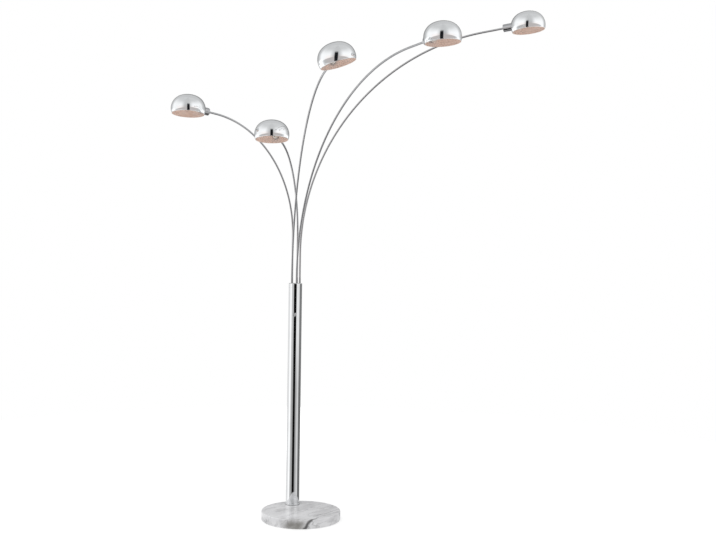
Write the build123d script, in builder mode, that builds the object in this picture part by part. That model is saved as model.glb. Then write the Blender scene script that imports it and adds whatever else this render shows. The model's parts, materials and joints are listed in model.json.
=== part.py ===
"""Tree floor lamp: five arching arms on one pole, standing on a round marble base.

Millimetres, +Z up. The origin is the centre of the base, on the floor. The lamp's front is -Y.
"""
from build123d import *
import os
from dataclasses import dataclass
from math import asin, atan2, cos, degrees, radians, sin, sqrt

# ---------------------------------------------------------------- driving dimensions

# Base
base_diameter = 330
base_thickness = 36
base_top_edge_radius = 3
base_bottom_edge_chamfer = 1.5
pad_diameter = 310
pad_thickness = 2

# Clamp that holds the pole on the base
rod_diameter = 10
rod_hole_clearance = 1
clamp_recess_diameter = 56
clamp_recess_depth = 16
washer_diameter = 44
washer_thickness = 3
nut_across_flats = 17
nut_height = 8
rod_below_nut = 3
rod_above_plug = 6
plug_height = 16

# Pole, off the centre of the base
pole_x = -42
pole_y = 104
pole_diameter = 57
pole_wall = 1.5
pole_length = 929
collar_diameter = 60
collar_height = 9
collar_edge_radius = 1

# Cap on the pole, with a ring of arm holes
cap_rim_height = 18
cap_edge_radius = 1.6
cap_seam_chamfer = 0.6
cap_plate_thickness = 8
cap_spigot_length = 16
cap_spigot_wall = 3.5
cap_screw_diameter = 4
cap_screw_head_inset = 0.4
cap_screw_reach = 4.5
cap_screw_directions = (55, 125)

# Guide disc and stop collars that hold the arm feet inside the pole
guide_depth = 60
guide_thickness = 6
foot_projection = 10
stop_collar_diameter = 14
stop_collar_height = 8
collar_to_pole_wall = 1.5

# Terminal block under the guide disc
terminal_gap = 26
terminal_diameter = 48
terminal_height = 16
terminal_screw_diameter = 4
terminal_post_diameter = 8
terminal_socket_depth = 7

# Rotary switch on the front of the pole
switch_drop = 132
switch_width = 26
switch_depth = 20
switch_corner_radius = 2
switch_back = 2
bush_diameter = 10
bush_beyond_nut = 0.6
shaft_diameter = 6
shaft_length = 25
saddle_diameter = 17
saddle_height = 2.6
switch_nut_across_flats = 13
switch_nut_thickness = 1.8
knob_diameter = 16
knob_length = 13
knob_edge_radius = 1.4
knob_back_gap = 0.6
knob_shaft_depth = 10
knob_flutes = 18
knob_flute_radius = 0.5
switch_wire_diameter = 3
switch_wire_spacing = 12
switch_wire_y = -12

# Cord inlet low on the back of the pole
inlet_height = 40
inlet_hole_diameter = 12
inlet_bore_diameter = 6.6
inlet_flange_diameter = 16
inlet_flange_thickness = 2

# Arm tube
arm_diameter = 8
arm_wall = 1
lead_diameter = 4.4

# Course of each arm: straight rise from the cap, radius of the bend, straight run to the tip
arm_1_rise = 204
arm_1_bend_radius = 478
arm_1_tip_run = 39
arm_2_rise = 194
arm_2_bend_radius = 385
arm_2_tip_run = 46
arm_3_rise = 4
arm_3_bend_radius = 793
arm_3_tip_run = 103
arm_4_rise = 23
arm_4_bend_radius = 866
arm_4_tip_run = 97
arm_5_rise = 122
arm_5_bend_radius = 900
arm_5_tip_run = 86

# Knuckle between arm and shade
socket_depth = 18
knuckle_diameter = 30
knuckle_length = 31
knuckle_edge_chamfer = 1
nipple_diameter = 16
nipple_bore_diameter = 5.8
nipple_projection = 3
clamp_ring_diameter = 26
clamp_ring_thickness = 3

# Dome shade: a flat crown that rolls into a rounder shoulder, cut below its widest ring.
# Its centre is the centre of that ring, and the arm enters a little above it.
shade_diameter = 134
shade_crown_radius = 90
shade_shoulder_radius = 53
shade_wall = 1
rim_drop = 20.5
arm_above_centre = 7

# Lampholder and capsule bulb on the arm's axis
holder_diameter = 20
holder_length = 21
holder_edge_chamfer = 1
bulb_base_diameter = 9
bulb_base_length = 8
bulb_diameter = 13
bulb_length = 34
bulb_shoulder = 3
bulb_nib_radius = 1.4

# Fits
running_gap = 0.05
press_gap = 0.03
wire_gap = 0.3
seat_gap = 0.1


@dataclass
class Arm:
    """One arm: the course of its tube, then the angles of its hole, bend, heading and shade roll."""

    number: int
    rise: float
    bend_radius: float
    tip_run: float
    hole_angle: float
    bend_angle: float
    heading: float
    shade_roll: float


arms = (
    Arm(1, arm_1_rise, arm_1_bend_radius, arm_1_tip_run,
        hole_angle=144, bend_angle=84.2, heading=-133, shade_roll=4),
    Arm(2, arm_2_rise, arm_2_bend_radius, arm_2_tip_run,
        hole_angle=72, bend_angle=82.1, heading=-99.5, shade_roll=2.5),
    Arm(3, arm_3_rise, arm_3_bend_radius, arm_3_tip_run,
        hole_angle=-144, bend_angle=84.4, heading=-77.7, shade_roll=16.5),
    Arm(4, arm_4_rise, arm_4_bend_radius, arm_4_tip_run,
        hole_angle=-72, bend_angle=85.3, heading=-57, shade_roll=2.5),
    Arm(5, arm_5_rise, arm_5_bend_radius, arm_5_tip_run,
        hole_angle=0, bend_angle=82.8, heading=-23.2, shade_roll=0),
)

# ---------------------------------------------------------------- derived places

floor_plane = Plane.XY
base_bottom = pad_thickness
base_top = base_bottom + base_thickness
recess_top = base_bottom + clamp_recess_depth
washer_bottom = recess_top - washer_thickness
nut_bottom = washer_bottom - nut_height
plug_top = base_top + plug_height
pole_radius = pole_diameter / 2
pole_bore_radius = pole_radius - pole_wall
arm_circle_radius = pole_bore_radius - collar_to_pole_wall - stop_collar_diameter / 2
pole_top = base_top + pole_length
cap_top = pole_top + cap_rim_height
cap_plate_bottom = cap_top - cap_plate_thickness
spigot_bottom = pole_top - cap_spigot_length
spigot_radius = pole_bore_radius - press_gap
spigot_bore_radius = spigot_radius - cap_spigot_wall
cap_screw_height = pole_top - cap_spigot_length / 2
guide_top = cap_top - guide_depth
guide_bottom = guide_top - guide_thickness
foot_bottom = guide_bottom - foot_projection
terminal_top = guide_bottom - terminal_gap
terminal_bottom = terminal_top - terminal_height
lead_bottom = terminal_top - terminal_socket_depth
switch_height = cap_top - switch_drop
switch_front = switch_back + switch_depth
saddle_front = pole_radius + saddle_height
bush_front = saddle_front + switch_nut_thickness + bush_beyond_nut
knob_back = bush_front + knob_back_gap
inlet_z = base_top + inlet_height
inlet_depth = pole_wall + 2 * inlet_flange_thickness

arm_radius = arm_diameter / 2
arm_bore_radius = arm_radius - arm_wall
lead_radius = lead_diameter / 2

shoulder_reach = shade_diameter / 2 - shade_shoulder_radius
crown_depth = sqrt((shade_crown_radius - shade_shoulder_radius) ** 2 - shoulder_reach**2)
shoulder_angle = degrees(atan2(crown_depth, shoulder_reach))
shoulder_bore_radius = shade_shoulder_radius - shade_wall
clamp_ring_radius = clamp_ring_diameter / 2
clamp_ring_top = arm_above_centre + clamp_ring_radius
shade_centre = knuckle_length + shoulder_reach + sqrt(shade_shoulder_radius**2 - arm_above_centre**2)
clamp_ring_back = shade_centre - shoulder_reach - sqrt(shoulder_bore_radius**2 - clamp_ring_top**2)
clamp_ring_front = clamp_ring_back + clamp_ring_thickness
nipple_end = clamp_ring_front + nipple_projection
holder_back = clamp_ring_front
holder_front = holder_back + holder_length
bulb_base_back = holder_front - bulb_base_length


def pole_plane(height):
    """Horizontal plane on the pole's axis."""
    return Plane(origin=(pole_x, pole_y, height))


def pole_side(direction, height):
    """Plane on the pole's axis that looks out along a compass direction in degrees."""
    out = Vector(cos(radians(direction)), sin(radians(direction)), 0)
    return Plane(origin=(pole_x, pole_y, height), x_dir=Vector(0, 0, 1), z_dir=out)


def ring_points(angles):
    """Points of the arm circle at the given angles, in a plane on the pole's axis."""
    return [
        (arm_circle_radius * cos(radians(angle)), arm_circle_radius * sin(radians(angle)))
        for angle in angles
    ]


arm_angles = [arm.hole_angle for arm in arms]
FRONT = -90
BACK = 90


def arm_plane(arm):
    """Upright plane of one arm: x runs out along its heading and y up, from its hole in the cap."""
    x, y = ring_points([arm.hole_angle])[0]
    out = Vector(cos(radians(arm.heading)), sin(radians(arm.heading)), 0)
    foot = Vector(pole_x + x, pole_y + y, cap_top)
    return Plane(origin=foot, x_dir=out, z_dir=out.cross(Vector(0, 0, 1)))


def head_plane(arm):
    """Plane at the arm's tip: x runs on along the tube and y along the shade's axis."""
    upright = arm_plane(arm)
    bend = radians(arm.bend_angle)
    along = upright.x_dir * sin(bend) + upright.y_dir * cos(bend)
    reach = arm.bend_radius * (1 - cos(bend))
    climb = arm.rise + arm.bend_radius * sin(bend)
    tip = upright.origin + upright.x_dir * reach + upright.y_dir * climb + along * arm.tip_run
    level_up = upright.z_dir.cross(along)
    roll = radians(arm.shade_roll)
    return Plane(origin=tip, x_dir=along, z_dir=upright.z_dir * cos(roll) - level_up * sin(roll))


def dome_plane(head):
    """Plane at the dome's centre: x runs as the arm does and y is the dome's axis."""
    centre = head.origin + head.x_dir * shade_centre - head.y_dir * arm_above_centre
    return Plane(origin=centre, x_dir=head.x_dir, z_dir=head.z_dir)


def dome_arcs(offset):
    """Arcs of the dome's outline from rim to crown, drawn outside its surface by an offset."""
    shoulder_radius = shade_shoulder_radius + offset
    rim_angle = degrees(asin(rim_drop / shoulder_radius))
    shoulder = CenterArc((shoulder_reach, 0), shoulder_radius, -rim_angle, rim_angle + shoulder_angle)
    crown = CenterArc((0, -crown_depth), shade_crown_radius + offset, shoulder_angle, 90 - shoulder_angle)
    return shoulder, crown


def dome_core(head, offset):
    """Solid that fills the dome, its surface outside the dome's own by an offset."""
    dome = dome_plane(head)
    with BuildPart() as core:
        with BuildSketch(dome):
            with BuildLine():
                shoulder, crown = dome_arcs(offset)
                Polyline(crown @ 1, (0, -rim_drop), shoulder @ 0)
            make_face()
        revolve(axis=Axis(dome.origin, dome.y_dir))
    return core.part


def cross_plane(head, distance):
    """Plane square to the arm's axis, at a distance beyond the arm's tip."""
    return Plane(origin=head.origin + head.x_dir * distance, x_dir=head.y_dir, z_dir=head.x_dir)


def bent_tube(arm, bottom, end, radius, bore_radius=0):
    """Round tube or rod along an arm, from a height in the pole to a distance beyond the tip."""
    upright = arm_plane(arm)
    start = (0, bottom - cap_top)
    with BuildPart() as tube:
        with BuildLine(upright):
            foot = Line(start, (0, arm.rise))
            bend = JernArc(foot @ 1, foot % 1, arm.bend_radius, -arm.bend_angle)
            Line(bend @ 1, bend @ 1 + (bend % 1) * (arm.tip_run + end))
        with BuildSketch(Plane(origin=upright.from_local_coords(Vector(*start, 0)))):
            Circle(radius)
            if bore_radius:
                Circle(bore_radius, mode=Mode.SUBTRACT)
        sweep()
    return tube


def ring(plane, outer_radius, inner_radius, height):
    """Plain round ring standing on a plane."""
    with BuildPart() as piece:
        with BuildSketch(plane):
            Circle(outer_radius)
            Circle(inner_radius, mode=Mode.SUBTRACT)
        extrude(amount=height)
    return piece


def hex_nut(plane, across_flats, inner_radius, height):
    """Hexagon nut standing on a plane."""
    with BuildPart() as piece:
        with BuildSketch(plane):
            RegularPolygon(across_flats / 2, 6, major_radius=False)
            Circle(inner_radius, mode=Mode.SUBTRACT)
        extrude(amount=height)
    return piece


pieces = []


def keep(builder, name):
    """Name a finished piece and put it on the list to be written."""
    builder.part.label = name
    pieces.append(builder.part)


# ---------------------------------------------------------------- base and clamp

with BuildPart() as marble_base:
    with BuildSketch(floor_plane.offset(base_bottom)):
        Circle(base_diameter / 2)
    extrude(amount=base_thickness)
    fillet(marble_base.edges().group_by(Axis.Z)[-1], base_top_edge_radius)
    chamfer(marble_base.edges().group_by(Axis.Z)[0], base_bottom_edge_chamfer)
    with BuildSketch(pole_plane(base_bottom)):
        Circle(clamp_recess_diameter / 2)
    extrude(amount=clamp_recess_depth, mode=Mode.SUBTRACT)
    with BuildSketch(pole_plane(base_bottom)):
        Circle(rod_diameter / 2 + rod_hole_clearance)
    extrude(amount=base_thickness, mode=Mode.SUBTRACT)
keep(marble_base, "marble_base")

with BuildPart() as base_pad:
    with BuildSketch(floor_plane):
        Circle(pad_diameter / 2)
        with Locations((pole_x, pole_y)):
            Circle(clamp_recess_diameter / 2, mode=Mode.SUBTRACT)
    extrude(amount=pad_thickness)
keep(base_pad, "base_pad")

thread_radius = rod_diameter / 2 + press_gap
keep(ring(pole_plane(washer_bottom), washer_diameter / 2, thread_radius, washer_thickness), "base_washer")
keep(hex_nut(pole_plane(nut_bottom), nut_across_flats, thread_radius, nut_height), "base_nut")

with BuildPart() as tie_rod:
    with BuildSketch(pole_plane(nut_bottom - rod_below_nut)):
        Circle(rod_diameter / 2)
    extrude(amount=plug_top + rod_above_plug - nut_bottom + rod_below_nut)
keep(tie_rod, "tie_rod")

plug = ring(pole_plane(base_top), pole_bore_radius - press_gap, thread_radius, plug_height)
keep(plug, "pole_bottom_plug")

with BuildPart() as foot_collar:
    with BuildSketch(pole_plane(base_top)):
        Circle(collar_diameter / 2)
    extrude(amount=collar_height)
    fillet(foot_collar.edges().group_by(Axis.Z)[-1], collar_edge_radius)
    with BuildSketch(pole_plane(base_top)):
        Circle(pole_radius + press_gap)
    extrude(amount=collar_height, mode=Mode.SUBTRACT)
keep(foot_collar, "foot_collar")

# ---------------------------------------------------------------- pole and cap

with BuildPart() as pole_tube:
    with BuildSketch(pole_plane(base_top)):
        Circle(pole_radius)
        Circle(pole_bore_radius, mode=Mode.SUBTRACT)
    extrude(amount=pole_length)
    with BuildSketch(pole_side(FRONT, switch_height)):
        Circle(bush_diameter / 2 + seat_gap)
    extrude(amount=pole_diameter, mode=Mode.SUBTRACT)
    with BuildSketch(pole_side(BACK, inlet_z)):
        Circle(inlet_hole_diameter / 2)
    extrude(amount=pole_diameter, mode=Mode.SUBTRACT)
    for direction in cap_screw_directions:
        with BuildSketch(pole_side(direction, cap_screw_height)):
            Circle(cap_screw_diameter / 2 + press_gap)
        extrude(amount=pole_diameter, mode=Mode.SUBTRACT)
keep(pole_tube, "pole_tube")

with BuildPart() as pole_cap:
    with BuildSketch(pole_plane(pole_top)):
        Circle(pole_radius)
    extrude(amount=cap_rim_height)
    fillet(pole_cap.edges().group_by(Axis.Z)[-1], cap_edge_radius)
    chamfer(pole_cap.edges().group_by(Axis.Z)[0], cap_seam_chamfer)
    with BuildSketch(pole_plane(spigot_bottom)):
        Circle(spigot_radius)
    extrude(amount=cap_spigot_length)
    with BuildSketch(pole_plane(spigot_bottom)):
        Circle(spigot_bore_radius)
    extrude(amount=cap_plate_bottom - spigot_bottom, mode=Mode.SUBTRACT)
    with BuildSketch(pole_plane(cap_plate_bottom)):
        with Locations(*ring_points(arm_angles)):
            Circle(arm_radius + running_gap)
    extrude(amount=cap_plate_thickness, mode=Mode.SUBTRACT)
    for direction in cap_screw_directions:
        with BuildSketch(pole_side(direction, cap_screw_height)):
            Circle(cap_screw_diameter / 2 + press_gap)
        extrude(amount=pole_diameter, mode=Mode.SUBTRACT)
keep(pole_cap, "pole_cap")

with BuildPart() as cap_screws:
    for direction in cap_screw_directions:
        tip_radius = pole_radius - cap_screw_head_inset - cap_screw_reach
        with BuildSketch(pole_side(direction, cap_screw_height).offset(tip_radius)):
            Circle(cap_screw_diameter / 2)
        extrude(amount=cap_screw_reach)
keep(cap_screws, "cap_screws")

# ---------------------------------------------------------------- inside the pole head

with BuildPart() as arm_guide_disc:
    with BuildSketch(pole_plane(guide_bottom)):
        Circle(pole_bore_radius - press_gap)
        with Locations(*ring_points(arm_angles)):
            Circle(arm_radius + running_gap, mode=Mode.SUBTRACT)
        Circle(terminal_screw_diameter / 2 + press_gap, mode=Mode.SUBTRACT)
    extrude(amount=guide_thickness)
keep(arm_guide_disc, "arm_guide_disc")

with BuildPart() as terminal_post:
    with BuildSketch(pole_plane(terminal_top)):
        Circle(terminal_post_diameter / 2)
    extrude(amount=terminal_gap)
    with BuildSketch(pole_plane(terminal_bottom)):
        Circle(terminal_screw_diameter / 2)
    extrude(amount=guide_top - terminal_bottom)
keep(terminal_post, "terminal_post")

with BuildPart() as terminal_block:
    with BuildSketch(pole_plane(terminal_bottom)):
        Circle(terminal_diameter / 2)
        Circle(terminal_screw_diameter / 2 + press_gap, mode=Mode.SUBTRACT)
    extrude(amount=terminal_height)
    with BuildSketch(pole_plane(lead_bottom)):
        with Locations(*ring_points(arm_angles)):
            Circle(lead_radius + wire_gap)
    extrude(amount=terminal_socket_depth, mode=Mode.SUBTRACT)
keep(terminal_block, "terminal_block")

# ---------------------------------------------------------------- switch

switch_side = pole_side(FRONT, switch_height)

with BuildPart() as switch_body:
    with BuildSketch(switch_side.offset(switch_back)):
        RectangleRounded(switch_width, switch_width, switch_corner_radius)
    extrude(amount=switch_depth)
    with BuildSketch(switch_side.offset(switch_front)):
        Circle(bush_diameter / 2)
    extrude(amount=bush_front - switch_front)
    with BuildSketch(switch_side.offset(knob_back + knob_shaft_depth - shaft_length)):
        Circle(shaft_diameter / 2 + running_gap)
    extrude(amount=shaft_length, mode=Mode.SUBTRACT)
keep(switch_body, "switch_body")

with BuildPart() as switch_saddle:
    with BuildSketch(switch_side):
        Circle(saddle_diameter / 2)
        Circle(bush_diameter / 2 + seat_gap, mode=Mode.SUBTRACT)
    extrude(amount=saddle_front)
    with BuildSketch(pole_plane(switch_height - saddle_diameter)):
        Circle(pole_radius)
    extrude(amount=2 * saddle_diameter, mode=Mode.SUBTRACT)
keep(switch_saddle, "switch_saddle")

keep(
    hex_nut(
        switch_side.offset(saddle_front),
        switch_nut_across_flats,
        bush_diameter / 2 + press_gap,
        switch_nut_thickness,
    ),
    "switch_nut",
)

with BuildPart() as switch_shaft:
    with BuildSketch(switch_side.offset(knob_back + knob_shaft_depth - shaft_length)):
        Circle(shaft_diameter / 2)
    extrude(amount=shaft_length)
keep(switch_shaft, "switch_shaft")

with BuildPart() as switch_knob:
    with BuildSketch(switch_side.offset(knob_back)):
        Circle(knob_diameter / 2)
    extrude(amount=knob_length)
    fillet(switch_knob.faces().sort_by(Axis.Y)[0].edges(), knob_edge_radius)
    with BuildSketch(switch_side.offset(knob_back)):
        with PolarLocations(knob_diameter / 2, knob_flutes):
            Circle(knob_flute_radius)
        Circle(shaft_diameter / 2 + press_gap)
    extrude(amount=knob_shaft_depth, mode=Mode.SUBTRACT)
keep(switch_knob, "switch_knob")

with BuildPart() as switch_lead:
    with BuildSketch(pole_plane(switch_height + switch_width / 2)):
        with Locations((-switch_wire_spacing / 2, switch_wire_y), (switch_wire_spacing / 2, switch_wire_y)):
            Circle(switch_wire_diameter / 2)
    extrude(amount=terminal_bottom - switch_height - switch_width / 2)
keep(switch_lead, "switch_lead")

# ---------------------------------------------------------------- cord inlet

with BuildPart() as cord_bushing:
    with BuildSketch(pole_side(BACK, inlet_z).offset(pole_bore_radius - inlet_flange_thickness)):
        Circle(inlet_flange_diameter / 2)
    extrude(amount=inlet_depth)
    with BuildSketch(pole_plane(inlet_z - inlet_flange_diameter)):
        Circle(pole_radius)
        Circle(pole_bore_radius, mode=Mode.SUBTRACT)
    extrude(amount=2 * inlet_flange_diameter, mode=Mode.SUBTRACT)
    with BuildSketch(pole_side(BACK, inlet_z).offset(pole_bore_radius - inlet_flange_thickness)):
        Circle(inlet_hole_diameter / 2 - press_gap)
    extrude(amount=inlet_depth)
    with BuildSketch(pole_side(BACK, inlet_z)):
        Circle(inlet_bore_diameter / 2)
    extrude(amount=pole_diameter, mode=Mode.SUBTRACT)
keep(cord_bushing, "cord_bushing")

# ---------------------------------------------------------------- arms


def make_arm(arm):
    """Bent tube, its stop collar on the guide disc and the lead inside it."""
    name = f"arm_{arm.number}"
    tube = bent_tube(arm, foot_bottom, socket_depth, arm_radius, arm_bore_radius)
    keep(tube, f"{name}_tube")
    keep(bent_tube(arm, lead_bottom, nipple_end, lead_radius), f"{name}_lead")
    foot = arm_plane(arm).origin
    seat = Plane(origin=(foot.X, foot.Y, guide_top))
    collar = ring(seat, stop_collar_diameter / 2, arm_radius + press_gap, stop_collar_height)
    keep(collar, f"{name}_collar")


# ---------------------------------------------------------------- heads


def make_knuckle(arm, head):
    """Turned knuckle: a socket for the arm, a seat for the dome and a nipple into it."""
    with BuildPart() as knuckle:
        with BuildSketch(cross_plane(head, 0)):
            Circle(knuckle_diameter / 2)
        extrude(amount=shade_centre)
        add(dome_core(head, seat_gap), mode=Mode.SUBTRACT)
        back_edges = knuckle.edges().sort_by(lambda edge: (edge.center() - head.origin).length)
        chamfer(back_edges[0], knuckle_edge_chamfer)
        with BuildSketch(cross_plane(head, socket_depth)):
            Circle(nipple_diameter / 2)
        extrude(amount=nipple_end - socket_depth)
        with BuildSketch(cross_plane(head, 0)):
            Circle(nipple_bore_diameter / 2)
        extrude(amount=nipple_end, mode=Mode.SUBTRACT)
        with BuildSketch(cross_plane(head, 0)):
            Circle(arm_radius + running_gap)
        extrude(amount=socket_depth, mode=Mode.SUBTRACT)
    keep(knuckle, f"knuckle_{arm.number}")


def make_shade(arm, head):
    """Spun dome with a round hole in its side for the knuckle's nipple."""
    dome = dome_plane(head)
    with BuildPart() as shade:
        with BuildSketch(dome):
            with BuildLine():
                outer_shoulder, outer_crown = dome_arcs(0)
                inner_shoulder, inner_crown = dome_arcs(-shade_wall)
                Line(outer_shoulder @ 0, inner_shoulder @ 0)
                Line(outer_crown @ 1, inner_crown @ 1)
            make_face()
        revolve(axis=Axis(dome.origin, dome.y_dir))
        with BuildSketch(cross_plane(head, 0)):
            Circle(nipple_diameter / 2 + seat_gap)
        extrude(amount=shade_centre, mode=Mode.SUBTRACT)
    keep(shade, f"shade_{arm.number}")


def make_clamp_ring(arm, head):
    """Ring inside the dome that clamps it to the knuckle, its back shaped to the dome."""
    with BuildPart() as clamp_ring:
        with BuildSketch(cross_plane(head, knuckle_length)):
            Circle(clamp_ring_radius)
            Circle(nipple_diameter / 2 + press_gap, mode=Mode.SUBTRACT)
        extrude(amount=clamp_ring_front - knuckle_length)
        add(dome_core(head, -shade_wall - seat_gap), mode=Mode.INTERSECT)
    keep(clamp_ring, f"clamp_ring_{arm.number}")


def make_lampholder(arm, head):
    """Ceramic holder screwed on the nipple, open in front for the bulb's base."""
    with BuildPart() as holder:
        with BuildSketch(cross_plane(head, holder_back)):
            Circle(holder_diameter / 2)
        extrude(amount=holder_length)
        front_edges = holder.edges().sort_by(lambda edge: (edge.center() - head.origin).length)
        chamfer(front_edges[-1], holder_edge_chamfer)
        with BuildSketch(cross_plane(head, holder_back)):
            Circle(nipple_diameter / 2 + press_gap)
        extrude(amount=nipple_projection, mode=Mode.SUBTRACT)
        with BuildSketch(cross_plane(head, bulb_base_back)):
            Circle(bulb_base_diameter / 2 + press_gap)
        extrude(amount=bulb_base_length, mode=Mode.SUBTRACT)
    keep(holder, f"lampholder_{arm.number}")


def make_bulb(arm, head):
    """Capsule bulb with a narrow base, a round nose and the small nib of its seal."""
    shoulder_end = holder_front + bulb_shoulder
    nose_start = holder_front + bulb_length - bulb_diameter / 2
    nib_angle = degrees(asin(2 * bulb_nib_radius / bulb_diameter))
    with BuildPart() as bulb:
        with BuildSketch(head):
            with BuildLine():
                base = Polyline(
                    (bulb_base_back, 0),
                    (bulb_base_back, bulb_base_diameter / 2),
                    (holder_front, bulb_base_diameter / 2),
                    (shoulder_end, bulb_diameter / 2),
                    (nose_start, bulb_diameter / 2),
                )
                nose = CenterArc((nose_start, 0), bulb_diameter / 2, 90, nib_angle - 90)
                nib = CenterArc(((nose @ 1).X, 0), bulb_nib_radius, 90, -90)
                Line(nib @ 1, base @ 0)
            make_face()
        revolve(axis=Axis(head.origin, head.x_dir))
    keep(bulb, f"bulb_{arm.number}")


def make_head(arm):
    """Everything that rolls about the arm's tip."""
    head = head_plane(arm)
    make_knuckle(arm, head)
    make_shade(arm, head)
    make_clamp_ring(arm, head)
    make_lampholder(arm, head)
    make_bulb(arm, head)


for arm in arms:
    make_arm(arm)
    make_head(arm)

# ---------------------------------------------------------------- files

os.makedirs("parts", exist_ok=True)
for piece in pieces:
    export_step(piece, f"parts/{piece.label}.step")
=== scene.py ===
"""Tree floor lamp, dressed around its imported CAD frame: chrome, marble, glass and a white studio.

Lengths are metres, +Z up, and the lamp's front is -Y.
"""
import json
from math import acos, asin, atan2, cos, degrees, hypot, pi, radians, sin, sqrt, tan, tau

import bmesh
import bpy
from bpy.props import (
    CollectionProperty, FloatProperty, FloatVectorProperty, IntProperty, PointerProperty, StringProperty,
)
from mathutils import Matrix, Vector


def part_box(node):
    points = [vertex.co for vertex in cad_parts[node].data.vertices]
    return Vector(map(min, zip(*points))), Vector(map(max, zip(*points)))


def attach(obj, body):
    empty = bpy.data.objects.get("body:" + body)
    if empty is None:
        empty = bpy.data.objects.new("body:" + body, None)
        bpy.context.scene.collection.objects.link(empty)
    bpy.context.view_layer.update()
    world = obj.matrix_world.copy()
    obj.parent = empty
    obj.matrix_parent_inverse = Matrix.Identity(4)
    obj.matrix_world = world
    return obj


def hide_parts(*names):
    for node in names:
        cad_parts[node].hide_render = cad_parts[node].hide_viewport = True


bl_info = {
    "name": "Tree Floor Lamp",
    "version": (1, 0, 0),
    "blender": (4, 5, 0),
    "location": "3D View > Sidebar > Tree Lamp",
    "description": "Dresses a five-arm chrome floor lamp and its white studio",
    "category": "Object",
}

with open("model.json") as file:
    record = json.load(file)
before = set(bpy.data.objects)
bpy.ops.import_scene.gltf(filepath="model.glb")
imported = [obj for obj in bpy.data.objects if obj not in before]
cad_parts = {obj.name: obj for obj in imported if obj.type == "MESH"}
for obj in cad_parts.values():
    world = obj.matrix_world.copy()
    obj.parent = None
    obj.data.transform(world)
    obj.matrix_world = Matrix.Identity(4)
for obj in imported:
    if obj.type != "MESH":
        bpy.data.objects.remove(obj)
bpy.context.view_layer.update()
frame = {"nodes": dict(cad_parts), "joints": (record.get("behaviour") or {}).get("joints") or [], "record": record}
joints = {joint["name"]: joint for joint in frame["joints"]}
MM = 0.001
# Degrees in a radian.
DEGREES = 180 / pi
# Turned pieces stay this far inside the solids they stand for.
SHY = 0.1 * MM
ARMS = range(1, 6)
# How finely pieces are divided: along and round an arm, and round the turned pieces.
ARM_STEPS, ARM_SIDES = 220, 40
DOME_SIDES, RING_SIDES, SMALL_SIDES = 144, 96, 48

# Course of each arm in millimetres and degrees:
# rise, bend radius, bend angle, tip run, heading, shade roll
ARM_COURSES = (
    (204, 478, 84.2, 39, -133, 4),
    (194, 385, 82.1, 46, -99.5, 2.5),
    (4, 793, 84.4, 103, -77.7, 16.5),
    (23, 866, 85.3, 97, -57, 2.5),
    (122, 900, 82.8, 86, -23.2, 0),
)


# ---------------------------------------------------------------- settings


def length(name, description, millimetres):
    """A length setting, shown in Blender's own units."""
    return FloatProperty(name=name, description=description, default=millimetres * MM, unit="LENGTH", precision=4)


def angle(name, description, value):
    """An angle setting, given in degrees."""
    return FloatProperty(name=name, description=description, default=radians(value), subtype="ANGLE")


def colour(name, description, value):
    """A colour setting in linear light."""
    return FloatVectorProperty(name=name, description=description, default=value, subtype="COLOR", size=3,
                               min=0, max=1)


def spot(name, description, value):
    """A place or an extent, in metres."""
    return FloatVectorProperty(name=name, description=description, default=value, size=len(value),
                               subtype="TRANSLATION", unit="LENGTH")


class LAMP_PG_arm(bpy.types.PropertyGroup):
    """Course of one arm and the roll of its shade."""

    rise: length("Rise", "Straight rise out of the cap", 100)
    bend_radius: length("Bend Radius", "Radius of the bend", 800)
    bend_angle: angle("Bend Angle", "Angle the tube turns through", 84)
    tip_run: length("Tip Run", "Straight run before the knuckle", 60)
    heading: angle("Heading", "Compass direction of the arm, from +X towards +Y", -90)
    shade_roll: angle("Shade Roll", "Turn of the shade about the arm's tip", 3)


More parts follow.
